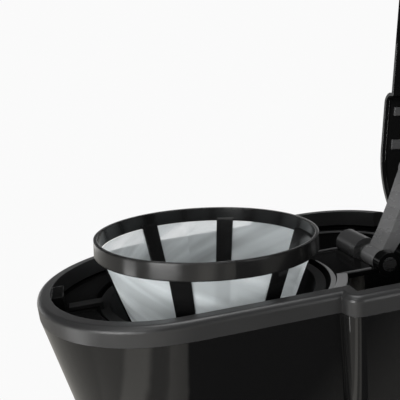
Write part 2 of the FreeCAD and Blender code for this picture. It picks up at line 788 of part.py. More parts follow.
def swing_open(obj):
    # turns a lid piece from its shut place about the hinge line
    turn = FreeCAD.Rotation(V(1, 0, 0), -float(s.lid_open))
    line = V(0, float(hinge_y), float(hinge_z))
    obj.Placement = FreeCAD.Placement(line - turn.multVec(line), turn).multiply(obj.Placement)
    return obj


def lid_pieces():
    wall, top = s.lid_wall, lid_low + s.lid_height
    outer = top_slab("lidOuter", ZERO, lid_low, s.lid_height, s.step_round)
    rounded(outer, "lidCrown", s.lid_round, level_at(top))
    room = top_slab("lidRoom", wall, lid_low, s.lid_height - wall, s.step_round - wall)
    pieces, bores = [cut("lidHollow", outer, room)], []
    for i, start in enumerate((-s.knuckle_start - s.knuckle_width, s.knuckle_start)):
        place, end = (start, hinge_y, hinge_z), start + s.knuckle_width
        pieces.append(drum(f"knuckle{i}", s.knuckle_radius, place, s.knuckle_width, "x"))
        pieces.append(box(f"strap{i}", (start, hinge_y - s.knuckle_radius, hinge_z),
                          (end, s.rear_reach, lid_low + s.lid_round)))
        bores.append(drum(f"knuckleBore{i}", s.hinge_pin_radius + s.running_gap, place, s.knuckle_width,
                          "x"))
    # short stiffening ribs stand in the corners between roof and side walls
    for i, (y, side) in enumerate(((s.step_y + s.lid_rib_gap, s.half_width),
                                   (s.step_y - s.lid_rib_gap, head_half))):
        far, near, low = side - wall / 2, side - s.liner_inset + s.move_gap, top - wall - s.lid_rib
        for j, (left, right) in enumerate(((-far, -near), (near, far))):
            pieces.append(box(f"lidRib{i}{j}", (left, y, low),
                              (right, y + s.lid_rib_thick, top - wall / 2)))
    keep(swing_open(cut("lidShell", fuse("lidWhole", *pieces), *bores)), "lid_shell")
    liner = top_slab("liner", s.liner_inset, top - wall - s.liner_thick, s.liner_thick)
    keep(swing_open(liner), "lid_liner")
    front = wall - s.head_front + s.latch_gap
    keep(swing_open(slab("latchTab", four_sided(s.latch_half, front, front + wall), lid_low,
                         s.latch_depth * 2)), "lid_latch")


def basket_pieces():
    wall, floor, seat = s.basket_wall, basket_z, deck_z - s.well_depth + s.deck_thick + s.rest_gap
    flange, cup = head_half - s.rim_width - s.lift_gap, s.spout_radius - s.basket_wall
    bowl = turned("basketBowl", [(s.drain_radius, spout_z), (s.spout_radius, spout_z),
                                 (s.spout_radius, floor - wall),
                                 (basket_floor + wall, floor - wall), (basket_top, seat), (flange, seat),
                                 (flange, seat + wall), (basket_top - wall, seat + wall),
                                 (basket_floor, floor),
                                 (cup, floor), (cup, spout_z + wall), (s.drain_radius, spout_z + wall)])
    grip_low, grip_end = deck_z + s.rest_gap, latch_y + s.latch_depth + s.grip_gap
    grip = box("basketGrip", (-s.grip_half, grip_end, grip_low),
               (s.grip_half, wall - flange, grip_low + wall))
    stub = box("basketStub", (-s.grip_half, -flange, seat), (s.grip_half, wall - flange, grip_low + wall))
    keep(fuse("basketAll", bowl, grip, stub), "filter_basket")


def valve_pieces():
    wall, cup, cap_low = s.basket_wall, s.spout_radius - s.basket_wall, basket_z - s.cap_thick
    count = int(float(s.cap_holes))
    spots = [(s.cap_circle * math.cos(2 * math.pi * i / count),
              s.cap_circle * math.sin(2 * math.pi * i / count))
             for i in range(count)]
    holes = [drum(f"capHole{i}", s.cap_thick, (x, y, cap_low), s.cap_thick) for i,
             (x, y) in enumerate(spots)]
    keep(cut("valveCap", drum("capDisc", cup, (ZERO, ZERO, cap_low), s.cap_thick), *holes), "valve_cap")
    seal_low = spout_z + wall + s.rest_gap
    head_base = seal_low + s.seal_flat
    head_top, stem_low = head_base + s.seal_flat * 2, spout_z - s.valve_drop
    keep(turned("valvePlunger", [(0, stem_low), (s.valve_stem, stem_low), (s.valve_stem, head_base),
                                 (s.valve_head, head_base),
                                 (s.valve_head, head_top), (0, head_top)]), "valve_plunger")
    edge = s.valve_head - s.rest_gap
    keep(turned("valveSeal", [(s.valve_stem, seal_low), (edge, seal_low), (edge, head_base),
                              (s.valve_stem, head_base)]),
         "valve_seal")
    wire, slack = float(s.spring_wire), float(s.running_gap)
    low, high = float(head_top) + wire + slack, float(cap_low) - wire - slack
    helix = Part.makeHelix((high - low) / float(s.spring_turns), high - low, float(s.spring_radius))
    spoke = [V(float(s.spring_radius) + wire * math.cos(a), 0, wire * math.sin(a))
             for a in (0, math.pi / 2, math.pi, -math.pi / 2)]
    coil = Part.Wire(helix).makePipeShell([Part.makePolygon(spoke + spoke[:1])], True, True)
    coil.translate(V(0, 0, low))
    keep(formed("valveSpring", coil), "valve_spring")


def tilt_in(obj):
    # the filter stands loose in the basket, its front edge a little high
    turn = FreeCAD.Rotation(V(1, 0, 0), -float(s.filter_tilt))
    obj.Placement = FreeCAD.Placement(V(0, 0, float(s.rim_z + s.ring_rise)), turn)
    return obj


def cone_skin(outset, thick, top, low):
    # a slice of the filter's conical wall between two depths below the ring's top
    band, fall = float(s.band_height), float(s.filter_height - s.band_height)
    wide, narrow = [float(ring_radius - s.band_thick) - float(s.filter_taper) * (d - band) / fall
                    for d in (top, low)]
    shells = [Part.makeCone(narrow + extra, wide + extra, low - top, V(0, 0, -low))
              for extra in (outset, outset - thick)]
    return shells[0].cut(shells[1])


def filter_pieces():
    band, inner = float(s.band_height), float(ring_radius - s.band_thick)
    outer, flare = float(ring_radius), float(ring_radius + s.band_flare)
    section = [V(inner, 0, 0), V(outer, 0, 0), V(flare, 0, -band), V(inner, 0, -band), V(inner, 0, 0)]
    ring = Part.Face(Part.makePolygon(section)).revolve(V(0, 0, 0), V(0, 0, 1), 360)
    height, skin = float(s.filter_height), float(s.rib_thick)
    foot_top = height - float(s.foot_band)
    frame = ring.fuse([Part.makeCylinder(float(filter_foot), skin, V(0, 0, -height)),
                       cone_skin(0, skin, foot_top, height)])
    whole_skin = cone_skin(0, skin, band - skin, height)
    spread, tail = float(s.rib_spread), float(s.rib_foot_width) / 2
    narrow = [(angle, float(s.rib_width) / 2) for angle in (spread, -spread, 180 + spread, 180 - spread)]
    for angle, half in narrow + [(angle, float(s.side_rib_width) / 2) for angle in (90, -90)]:
        corners = [V(0, -half, 0), V(0, half, 0), V(0, tail, -height), V(0, -tail, -height),
                   V(0, -half, 0)]
        blade = Part.Face(Part.makePolygon(corners)).extrude(V(flare, 0, 0))
        blade.rotate(V(0, 0, 0), V(0, 0, 1), angle)
        frame = frame.fuse(whole_skin.common(blade))
    frame = frame.removeSplitter()
    keep(tilt_in(formed("filterFrame", frame)), "filter_frame")
    mesh = float(s.mesh_thick)
    net = cone_skin((mesh - skin) / 2, mesh, band, foot_top).cut(frame)
    keep(tilt_in(formed("filterMesh", net)), "filter_mesh")


def carafe_pieces():
    wall, low, belly, band = s.glass_wall, carafe_low, carafe_low + s.belly_z, neck_z - s.band_width
    neck, mouth = s.glass_neck - wall, s.glass_mouth - wall
    glass = turned("glassBody", [(0, low), (s.glass_foot, low), (glass_radius, belly),
                                 (s.glass_neck, band),
                                 (s.glass_neck, neck_z), (s.glass_mouth, mouth_z), (mouth, mouth_z),
                                 (neck, neck_z),
                                 (neck, band), (glass_radius - wall, belly),
                                 (s.glass_foot - wall, low + wall), (0, low + wall)])
    rounded(glass, "bellyOut", s.belly_round, hoop_at(glass_radius, belly))
    rounded(glass, "bellyIn", s.belly_round - wall, hoop_at(glass_radius - wall, belly))
    rounded(glass, "footOut", s.foot_round, hoop_at(s.glass_foot, low))
    rounded(glass, "footIn", s.foot_round - wall, hoop_at(s.glass_foot - wall, low + wall))
    keep(glass, "carafe_glass")
    sleeve = s.glass_neck + s.band_wall
    keep(turned("carafeBand", [(s.glass_neck, band), (sleeve, band), (sleeve, neck_z),
                               (s.glass_neck, neck_z)]), "carafe_band")

    grip = new_body("handleGrip")
    side = sketch_on(grip, "handleSide", "YZ_Plane")
    reach, thick, foot = -glass_radius - s.handle_reach, s.handle_thick, low + s.handle_low
    inside = reach + thick
    draw(side, [(-sleeve, neck_z), (reach, neck_z), (reach, foot), (inside, foot), (inside, band),
                (-sleeve, band)])
    pad(grip, side, s.handle_width, True)
    level, edge_y = level_at(neck_z), float(reach)
    rounded(grip, "handleElbow", s.handle_bend + thick,
            lambda e: level(e) and abs(e.BoundBox.YMax - edge_y) < NEAR)
    under = level_at(band)
    rounded(grip, "handleCrook", s.handle_bend,
            lambda e: under(e) and abs(e.BoundBox.YMax - float(inside)) < NEAR)
    root = float(-sleeve)
    rounded(grip, "handleSoft", s.handle_round,
            lambda e: abs(e.BoundBox.XMax - e.BoundBox.XMin) < NEAR and e.BoundBox.YMin < root - NEAR)
    keep(grip, "carafe_handle")

    lip, tall, lid, rim = carafe_lip, s.carafe_lid_height / 2, s.carafe_lid_wall, s.glass_mouth + wall
    skirt, funnel = mouth - wall, s.drain_radius
    cap = turned("carafeCap", [(funnel, lip), (skirt - wall, lip), (skirt - wall, lip - tall),
                               (skirt, lip - tall), (skirt, lip),
                               (rim, lip), (rim, lip + lid), (skirt - wall, lip + tall),
                               (funnel * 3, lip + tall),
                               (funnel * 2, lip + lid), (funnel, lip + lid)])
    tab = box("capTab", (-s.handle_width / 3, -rim - s.handle_thick, lip),
              (s.handle_width / 3, -s.glass_mouth, lip + lid))
    keep(fuse("carafeCapAll", cap, tab), "carafe_lid")


base_pieces()
underside_pieces()
switch_pieces()
heater_pieces()
rear_pieces()
tank_pieces()
head_pieces()
deck_pieces()
water_pieces()
arm_pieces()
lid_pieces()
basket_pieces()
valve_pieces()
filter_pieces()
carafe_pieces()
doc.recompute()

for obj in doc.Objects:
    if "Invalid" in obj.State or "Error" in obj.State:
        raise RuntimeError(f"{obj.Name} failed: {obj.State}")
for label, obj in nodes.items():
    if obj.Shape.isNull() or not obj.Shape.isValid() or not obj.Shape.Solids:
        raise RuntimeError(f"{label} has no sound shape")

os.makedirs("parts", exist_ok=True)
for label, obj in nodes.items():
    obj.Shape.exportStep(f"parts/{label}.step")
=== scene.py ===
import json
import math
import bmesh
import bpy
from mathutils import Matrix, Vector


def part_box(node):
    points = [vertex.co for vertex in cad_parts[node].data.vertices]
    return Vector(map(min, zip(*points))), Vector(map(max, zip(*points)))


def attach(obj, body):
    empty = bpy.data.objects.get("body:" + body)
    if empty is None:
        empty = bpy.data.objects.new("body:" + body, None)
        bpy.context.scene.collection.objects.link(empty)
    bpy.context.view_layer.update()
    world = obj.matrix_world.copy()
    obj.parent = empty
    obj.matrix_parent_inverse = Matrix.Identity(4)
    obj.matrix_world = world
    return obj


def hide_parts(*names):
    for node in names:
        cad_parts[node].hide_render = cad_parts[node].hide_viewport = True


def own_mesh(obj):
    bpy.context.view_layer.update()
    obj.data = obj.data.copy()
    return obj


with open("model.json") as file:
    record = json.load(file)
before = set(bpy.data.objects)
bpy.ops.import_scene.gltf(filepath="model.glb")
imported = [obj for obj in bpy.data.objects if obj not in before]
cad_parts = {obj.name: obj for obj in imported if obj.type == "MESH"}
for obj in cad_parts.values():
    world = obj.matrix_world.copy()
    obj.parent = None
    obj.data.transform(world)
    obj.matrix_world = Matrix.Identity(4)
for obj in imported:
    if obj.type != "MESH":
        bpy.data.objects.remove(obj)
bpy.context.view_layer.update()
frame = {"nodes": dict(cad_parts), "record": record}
scene = bpy.context.scene
scene.view_settings.view_transform = "Standard"
# pieces, lamps and camera are placed from the brew axis, at the height of the rim
brewY = (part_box("hot_plate")[0][1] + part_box("hot_plate")[1][1]) / 2
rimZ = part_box("top_rim")[1][2]
print("stage: frame loaded")


def joint(name):
    return [entry for entry in frame["record"]["behaviour"]["joints"] if entry["name"] == name][0]


class Flow:
    def __init__(self, tree, out=None):
        self.tree = tree
        self.out = out

    def add(self, kind, links=None, out=0, **settings):
        node = self.tree.nodes.new(kind)
        for key, value in settings.items():
            setattr(node, key, value)
        for key, value in (links or {}).items():
            if isinstance(value, Flow):
                self.tree.links.new(value.out, node.inputs[key])
            else:
                node.inputs[key].default_value = value
        return Flow(self.tree, node.outputs[out] if node.outputs else None)

    def maths(self, op, a, b):
        return self.add("ShaderNodeMath", {0: a, 1: b}, operation=op)

    def split(self):
        node = self.tree.nodes.new("ShaderNodeSeparateXYZ")
        self.tree.links.new(self.out, node.inputs[0])
        return [Flow(self.tree, out) for out in node.outputs]

    def __add__(self, other):
        return self.maths("ADD", self, other)

    def __sub__(self, other):
        return self.maths("SUBTRACT", self, other)

    def __mul__(self, other):
        return self.maths("MULTIPLY", self, other)


def blank(name):
    made = bpy.data.materials.new(name)
    made.use_nodes = True
    made.node_tree.nodes.clear()
    return made, Flow(made.node_tree)


def noise(flow, scale, detail=3.0, rough=0.55, squash=(1, 1, 1)):
    place = flow.add("ShaderNodeTexCoord", out=3)
    place = flow.add("ShaderNodeMapping", {"Vector": place, "Scale": squash})
    return flow.add("ShaderNodeTexNoise", {"Vector": place, "Scale": scale, "Detail": detail, "Roughness": rough})


def spread(flow, value, low, high, start=0.0, end=1.0):
    return flow.add("ShaderNodeMapRange", {0: value, 1: start, 2: end, 3: low, 4: high})


def tint(flow, value, dark, light):
    return flow.add("ShaderNodeMix", {0: value, 6: (*dark, 1), 7: (*light, 1)}, out=2, data_type="RGBA")


def close(flow, surface):
    flow.add("ShaderNodeOutputMaterial", {"Surface": surface})


handling = {"scale": 38.0, "detail": 5.0, "rough": 0.7, "squash": (1, 1, 3), "range": (0.35, 0.7)}
grainDepth = 0.0002
plainEdge = 0.0004


def plastic(name, look):
    # moulded plastic: a tone that drifts a little, fine grain, and faint handling marks in the gloss
    made, flow = blank(name)
    cloud = noise(flow, look["cloud"])
    grain = noise(flow, look["grain"], 2.0)
    marks = noise(flow, handling["scale"], handling["detail"], handling["rough"], handling["squash"])
    rough = spread(flow, marks, *look["rough"], *handling["range"])
    edge = flow.add("ShaderNodeBevel", {"Radius": look.get("edge", plainEdge)}, samples=4)
    bump = flow.add("ShaderNodeBump", {
        "Height": grain, "Strength": look["bump"], "Distance": grainDepth, "Normal": edge})
    close(flow, flow.add("ShaderNodeBsdfPrincipled", {
        "Base Color": tint(flow, cloud, look["dark"], look["light"]), "Roughness": rough, "Normal": bump,
        "Specular IOR Level": look.get("spec", 0.5), "Coat Weight": look.get("coat", 0.0), "Coat Roughness": 0.06}))
    return made


def metal(name, look):
    made, flow = blank(name)
    streak = noise(flow, look["streak"], 4.0, 0.6, look["squash"])
    rough = spread(flow, streak, *look["rough"], 0.3, 0.7)
    bump = flow.add("ShaderNodeBump", {"Height": streak, "Strength": 0.08, "Distance": grainDepth})
    close(flow, flow.add("ShaderNodeBsdfPrincipled", {
        "Base Color": tint(flow, streak, look["dark"], look["light"]), "Roughness": rough, "Metallic": 1.0,
        "Normal": bump}))
    return made


def clearGlass(name, look):
    made, flow = blank(name)
    smear = noise(flow, look["smear"], 4.0)
    close(flow, flow.add("ShaderNodeBsdfPrincipled", {
        "Base Color": tint(flow, smear, look["dark"], look["light"]),
        "Roughness": spread(flow, smear, *look["rough"], 0.4, 0.7), "Transmission Weight": 1.0, "IOR": look["ior"]}))
    return made


def netCloth(name, look):
    # fine nylon net: threads on the cone's own lines, light through the holes and through the threads, and painted
    # shade that darkens the thread colour along aslant fold streaks
    made, flow = blank(name)
    uv = flow.add("ShaderNodeUVMap", uv_map="net")
    across, down, _ = uv.split()
    weave = flow.maths("PINGPONG", across * look["count"], 0.5)
    weft = flow.maths("PINGPONG", down * look["count"], 0.5)
    thread = flow.maths("MAXIMUM", weave, weft) * 2.0
    slack = flow.add("ShaderNodeMapping", {"Vector": uv, "Rotation": (0, 0, look["lean"]), "Scale": look["streak"]},
                     vector_type="TEXTURE")
    fold = flow.add("ShaderNodeTexNoise", {"Vector": slack, "Scale": 1.0, "Detail": 2.0, "Roughness": 0.45})
    # painted shade: the thread colour is darker along the fold streaks, standing in for shade in the creases
    tone = tint(flow, fold, look["dark"], look["light"])
    bump = flow.add("ShaderNodeBump", {"Height": thread, "Strength": 0.15, "Distance": 0.0001})
    front = flow.add("ShaderNodeBsdfDiffuse", {"Color": tone, "Roughness": 0.6, "Normal": bump})
    through = flow.add("ShaderNodeBsdfTranslucent", {"Color": tone, "Normal": bump})
    gloss = flow.add("ShaderNodeBsdfGlossy", {"Color": (0.9, 0.9, 0.9, 1), "Roughness": 0.45, "Normal": bump})
    body = flow.add("ShaderNodeMixShader", {0: look["through"], 1: front, 2: through})
    body = flow.add("ShaderNodeMixShader", {0: look["sheen"], 1: body, 2: gloss})
    hole = flow.add("ShaderNodeBsdfTransparent", {"Color": (1, 1, 1, 1)})
    cover = spread(flow, thread, *look["cover"]) * spread(flow, fold, *look["foldCover"], *look["foldRange"])
    close(flow, flow.add("ShaderNodeMixShader", {0: cover, 1: hole, 2: body}))
    return made


looks = {
    "gloss": plastic("blackGloss", {
        "dark": (0.005, 0.005, 0.0051), "light": (0.0075, 0.0075, 0.0076), "cloud": 7.0, "grain": 900.0,
        "rough": (0.02, 0.05), "bump": 0.006}),
    "satin": plastic("satinGrey", {
        "dark": (0.022, 0.022, 0.0222), "light": (0.028, 0.028, 0.0282), "cloud": 9.0, "grain": 2600.0,
        "rough": (0.30, 0.38), "bump": 0.2}),
    # painted shade: a darker, less reflective copy of the black plastic for the recessed deck and latch catch
    "shadedInside": plastic("insideBlackPaintedShade", {
        "dark": (0.003, 0.003, 0.003), "light": (0.005, 0.005, 0.005), "cloud": 12.0, "grain": 1500.0,
        "rough": (0.10, 0.16), "bump": 0.04, "spec": 0.25}),
    "ring": plastic("ringBlack", {
        "dark": (0.008, 0.008, 0.0081), "light": (0.012, 0.012, 0.0121), "cloud": 10.0, "grain": 1600.0,
        "rough": (0.13, 0.2), "bump": 0.04, "edge": 0.001}),
    # the arm's own grey; on the rails, tank beads and lid rib feet the same grey is a painted highlight on black
    # edges
    "arm": plastic("armGreyAndPaintedHighlight", {
        "dark": (0.105, 0.105, 0.106), "light": (0.145, 0.145, 0.146), "cloud": 16.0, "grain": 2000.0,
        "rough": (0.22, 0.32), "bump": 0.1}),
    # painted highlight: a pale grey base colour standing in for the glint on the black chamber lip and web
    "web": plastic("paintedHighlightGrey", {
        "dark": (0.21, 0.21, 0.212), "light": (0.26, 0.26, 0.262), "cloud": 18.0, "grain": 1500.0,
        "rough": (0.2, 0.3), "bump": 0.06}),
    "barrel": plastic("barrelGrey", {
        "dark": (0.04, 0.04, 0.0405), "light": (0.058, 0.058, 0.0585), "cloud": 14.0, "grain": 2200.0,
        "rough": (0.24, 0.34), "bump": 0.1}),
    "dark_matte": plastic("blackMatte", {
        "dark": (0.005, 0.005, 0.0051), "light": (0.008, 0.008, 0.0081), "cloud": 8.0, "grain": 1800.0,
        "rough": (0.52, 0.58), "bump": 0.08, "spec": 0.3}),
    "rubber": plastic("softRubber", {
        "dark": (0.012, 0.012, 0.012), "light": (0.022, 0.022, 0.022), "cloud": 14.0, "grain": 1200.0,
        "rough": (0.7, 0.85), "bump": 0.3}),
    "silicone": plastic("paleSilicone", {
        "dark": (0.55, 0.53, 0.48), "light": (0.68, 0.66, 0.6), "cloud": 12.0, "grain": 700.0,
        "rough": (0.4, 0.55), "bump": 0.1}),
    "plate": plastic("coatedPlate", {
        "dark": (0.012, 0.012, 0.012), "light": (0.022, 0.021, 0.02), "cloud": 22.0, "grain": 1500.0,
        "rough": (0.3, 0.42), "bump": 0.2}),
    "lens": plastic("amberLens", {
        "dark": (0.45, 0.05, 0.02), "light": (0.6, 0.09, 0.03), "cloud": 20.0, "grain": 400.0,
        "rough": (0.08, 0.14), "bump": 0.02, "coat": 0.6}),
    "clear": plastic("gaugeStrip", {
        "dark": (0.30, 0.32, 0.33), "light": (0.42, 0.44, 0.45), "cloud": 30.0, "grain": 500.0,
        "rough": (0.12, 0.2), "bump": 0.02, "coat": 0.5}),
    "steel": metal("brushedSteel", {
        "dark": (0.42, 0.42, 0.42), "light": (0.62, 0.62, 0.62), "streak": 60.0, "squash": (1, 1, 14),
        "rough": (0.22, 0.36)}),
    "aluminium": metal("castAluminium", {
        "dark": (0.55, 0.55, 0.56), "light": (0.72, 0.72, 0.73), "streak": 120.0, "squash": (1, 1, 1),
        "rough": (0.38, 0.52)}),
    "glass": clearGlass("carafeGlass", {
        "dark": (0.93, 0.96, 0.95), "light": (0.98, 0.99, 0.985), "smear": 9.0, "rough": (0.0, 0.03), "ior": 1.47}),
    "nylon": netCloth("nylonNet", {
        "dark": (0.85, 0.915, 0.93), "light": (0.925, 0.97, 0.985), "count": 400.0, "through": 0.4, "sheen": 0.06,
        "cover": (0.46, 0.80), "foldCover": (0.84, 1.4), "foldRange": (0.42, 0.68), "lean": 0.55,
        "streak": (0.6, 0.085, 1)}),
}
# nodes whose look is finer than their slot; the deck and latch catch take a darker, less reflective copy of the black
# plastic as painted shade in the recess
shaded = {"chamber_deck": "shadedInside", "latch_catch": "shadedInside", "swivel_barrel": "barrel", "water_arm": "arm",
          "arm_nozzle": "arm", "arm_seal": "rubber", "filter_frame": "ring"}
for entry in frame["record"]["subparts"]:
    mesh = frame["nodes"][entry["node"]].data
    mesh.materials.clear()
    mesh.materials.append(looks[shaded.get(entry["node"], entry["material_slot"])])
print("stage: materials")


def piece(name, verts, faces, look, body, smooth=True):
    mesh = bpy.data.meshes.new(name)
    mesh.from_pydata(verts, [], faces)
    mesh.materials.append(looks[look])
    for polygon in mesh.polygons:
        polygon.use_smooth = smooth
    made = bpy.data.objects.new(name, mesh)
    scene.collection.objects.link(made)
    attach(made, body)
    return made


net = {"rise": 0.020, "tilt": 4.0, "top": 0.0082, "low": 0.0815, "radius": 0.0580, "foot": 0.030, "height": 0.088,
       "band": 0.0083, "skin": 0.0008, "around": 240, "down": 40, "sag": 0.0009, "fold": 0.0011, "uv": (2.2, 0.6),
       "creases": ((-0.95, 0.55), (-0.72, 0.5), (0.1, 0.4), (2.2, 0.5)), "creaseWide": 0.07}


def netRadius(depth):
    share = (depth - net["band"]) / (net["height"] - net["band"])
    return net["radius"] + (net["foot"] - net["radius"]) * share - net["skin"]


def netPlace(x, y, z):
    turn = Matrix.Rotation(math.radians(-net["tilt"]), 3, "X")
    return turn @ Vector((x, y, z)) + Vector((0, brewY, rimZ + net["rise"]))


def bulge(angle, share):
    # the cloth slackens between the ribs, and a few creases run aslant
    calm = math.sin(math.pi * share) ** 0.7
    wave = 0.5 * math.sin(5 * angle + 6 * share) + 0.3 * math.sin(11 * angle - 9 * share)
    crease = sum(math.exp(-((angle - at - lean * (share - 0.4)) / net["creaseWide"]) ** 2)
                 for at, lean in net["creases"])
    return calm * (net["sag"] * wave * 0.5 - net["fold"] * 0.5 * crease)


def makeNet():
    verts, faces = [], []
    rows, cols = net["down"], net["around"]
    for j in range(rows + 1):
        share = j / rows
        depth = net["top"] + (net["low"] - net["top"]) * share
        for i in range(cols):
            angle = 2 * math.pi * i / cols - math.pi
            radius = netRadius(depth) + bulge(angle, share)
            verts.append(netPlace(radius * math.cos(angle), radius * math.sin(angle), -depth))
    for j in range(rows):
        for i in range(cols):
            k = (i + 1) % cols
            faces.append((j * cols + i, (j + 1) * cols + i, (j + 1) * cols + k, j * cols + k))
    made = piece("filterNet", verts, faces, "nylon", "filter")
    layer = made.data.uv_layers.new(name="net")
    for polygon in made.data.polygons:
        j, i = divmod(polygon.index, cols)
        for loop, (a, b) in zip(polygon.loop_indices, ((i, j), (i, j + 1), (i + 1, j + 1), (i + 1, j))):
            layer.data[loop].uv = (a / cols * net["uv"][0], b / rows * net["uv"][1])
    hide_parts("filter_mesh")


makeNet()
print("stage: filter net")


def valveCoil():
    # a copy of the coil rides with the basket in place of the spring; its squeeze as the plunger rises is computed
    # but not applied
    low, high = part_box("valve_spring")
    made = bpy.data.objects.new("valveCoil", frame["nodes"]["valve_spring"].data.copy())
    scene.collection.objects.link(made)
    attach(made, "basket")
    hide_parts("valve_spring")
    lift = joint("valve_lift")["range_m"][1]
    1 - lift / (high[2] - low[2])
    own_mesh(made)


valveCoil()
print("stage: valve coil")

ticks = {"count": 11, "margin": 0.015, "shift": -0.0015, "bar": (0.0006, 0.005, 0.0009)}


def gaugeTicks():
    tree = bpy.data.node_groups.new("gaugeTicks", "GeometryNodeTree")
    tree.interface.new_socket("Geometry", in_out="OUTPUT", socket_type="NodeSocketGeometry")
    inputs = {}
    for name, kind in (("Count", "Int"), ("Start", "Vector"), ("Step", "Vector"), ("Bar", "Vector")):
        inputs[name] = tree.interface.new_socket(name, in_out="INPUT", socket_type="NodeSocket" + kind).identifier
    given, done = tree.nodes.new("NodeGroupInput"), tree.nodes.new("NodeGroupOutput")
    line, bar, copies, real, coat = [tree.nodes.new("GeometryNode" + kind) for kind in (
        "MeshLine", "MeshCube", "InstanceOnPoints", "RealizeInstances", "SetMaterial")]
    coat.inputs["Material"].default_value = looks["satin"]
    for start, out, end, into in ((given, "Count", line, "Count"), (given, "Start", line, "Start Location"),
                                  (given, "Step", line, "Offset"), (given, "Bar", bar, "Size"),
                                  (line, "Mesh", copies, "Points"), (bar, "Mesh", copies, "Instance"),
                                  (copies, "Instances", real, "Geometry"), (real, "Geometry", coat, "Geometry"),
                                  (coat, "Geometry", done, "Geometry")):
        tree.links.new(start.outputs[out], end.inputs[into])
    low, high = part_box("level_window")
    made = bpy.data.objects.new("gaugeTicks", bpy.data.meshes.new("gaugeTicks"))
    scene.collection.objects.link(made)
    grower = made.modifiers.new("ticks", "NODES")
    grower.node_group = tree
    first = (low[0], (low[1] + high[1]) / 2 + ticks["shift"], low[2] + ticks["margin"])
    step = (high[2] - low[2] - 2 * ticks["margin"]) / (ticks["count"] - 1)
    for name, value in {"Count": ticks["count"], "Start": first, "Step": (0, 0, step), "Bar": ticks["bar"]}.items():
        grower[inputs[name]] = value
    made.update_tag()
    ready = made.evaluated_get(bpy.context.evaluated_depsgraph_get())
    grown = bpy.data.meshes.new_from_object(ready)
    made.modifiers.remove(grower)
    made.data = grown
    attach(made, "frame")


gaugeTicks()
print("stage: gauge")


def level(x, y, z):
    return Vector((x, y + brewY, z + rimZ))


def swung(x, y, z):
    # a place in the shut lid, carried to where the open lid holds it
    hinge = joint("lid_hinge")
    turn = Matrix.Rotation(math.radians(hinge["range_deg"][0]), 3, "X")
    heart = Vector(hinge["pos_m"])
    return turn @ (level(x, y, z) - heart) + heart


trimEase = 0.0002


def trim(name, rows, low, high, look, body="frame", place=level):
    # a thin strip from row to row: each row is its two edges in plan, and its upper corners are eased
    verts, faces = [], []
    for start, end in rows:
        start, end = Vector(start), Vector(end)
        step = (end - start).normalized() * trimEase
        section = ((start, low), (start, high - trimEase), (start + step, high),
                   (end - step, high), (end, high - trimEase), (end, low))
        verts += [place(x, y, z) for (x, y), z in section]
    ring = 6
    for i in range(len(rows) - 1):
        for k in range(ring):
            n = (k + 1) % ring
            faces.append((i * ring + k, i * ring + n, (i + 1) * ring + n, (i + 1) * ring + k))
    last = (len(rows) - 1) * ring
    faces += [tuple(range(ring)), tuple(range(last, last + ring))]
    made = piece(name, verts, faces, look, body, smooth=False)
    work = bmesh.new()
    work.from_mesh(made.data)
    bmesh.ops.recalc_face_normals(work, faces=work.faces)
    work.to_mesh(made.data)
    work.free()


def arc(middle, inner, outer, start, end, steps=40):
    # outer may be a number or a function of the share gone round
    rows = []
    for i in range(steps + 1):
        turn = math.radians(start + (end - start) * i / steps)
        way = Vector((math.cos(turn), math.sin(turn)))
        reach = outer(i / steps) if callable(outer) else outer
        rows.append((Vector(middle) + way * inner, Vector(middle) + way * reach))
    return rows


def along(side, sign):
    # down one long wall and round its corner
    wall = side["side"]
    middle = (side["radius"] - wall, side["bend"])
    rows = [(Vector((side["wide"] - wall, side["start"])), Vector((-wall, side["start"])))]
    rows += arc(middle, side["radius"] - side["wide"], side["radius"], 180, side["last"], 24)
    return [[Vector((sign * edge.x, edge.y)) for edge in row] for row in rows]


lip = {"inner": 0.0647, "outer": 0.0674, "thin": 0.0652, "thins": 0.55, "start": 36, "end": 96, "steps": 60,
       "low": -0.0109, "high": -0.0104}


def lipReach(share):
    gone = max(0.0, share - lip["thins"]) / (1 - lip["thins"])
    return lip["outer"] + (lip["thin"] - lip["outer"]) * gone


# painted highlight: the lip and web strips on the black deck are pale grey, standing in for a glint on the wall top
lipRows = arc((0, 0), lip["inner"], lipReach, lip["start"], lip["end"], lip["steps"])
trim("chamberLip", lipRows, lip["low"], lip["high"], "web")

web = {"inner": 0.0679, "outer": 0.0734, "start": 42, "end": 69.5, "low": -0.0095, "high": -0.0089}
webRows = arc((0, 0), web["inner"], web["outer"], web["start"], web["end"])
trim("chamberWeb", webRows, web["low"], web["high"], "web")

rail = {"places": (-0.0212, 0.0212), "thick": 0.0011, "start": 0.0665, "end": 0.0848, "low": -0.0109, "high": -0.0100}
# painted highlight: the rails on the black deck are grey lines standing in for edge glints
for side, x in zip(("far", "near"), rail["places"]):
    ends = [((x - rail["thick"] / 2, y), (x + rail["thick"] / 2, y)) for y in (rail["start"], rail["end"])]
    trim(side + "Rail", ends, rail["low"], rail["high"], "arm")

bead = {"side": 0.0727, "start": 0.060, "bend": 0.083, "radius": 0.0480, "last": 118, "wide": 0.0012,
        "low": -0.0150, "high": -0.0139}
lidBead = {"side": 0.0762, "start": 0.050, "bend": 0.083, "radius": 0.0515, "last": 135, "wide": 0.0007,
           "low": 0.0026, "high": 0.0034}
foot = {"side": 0.0762, "wide": 0.0014, "places": ((0.0545, 0.0602), (0.0765, 0.0830)), "low": 0.0069, "high": 0.0270}
# painted highlight: the tank beads and lid rib feet are grey lines standing in for edge glints on black plastic; the
# lid beads stay black
for side, sign in (("far", 1), ("near", -1)):
    trim(side + "TankBead", along(bead, sign), bead["low"], bead["high"], "arm")
    trim(side + "LidBead", along(lidBead, sign), lidBead["low"], lidBead["high"], "gloss", "lid", swung)
    for i, span in enumerate(foot["places"]):
        ends = [((-sign * foot["side"], y), (sign * (foot["wide"] - foot["side"]), y)) for y in span]
        trim(side + "RibFoot" + str(i), ends, foot["low"], foot["high"], "arm", "lid", swung)
print("stage: trim")

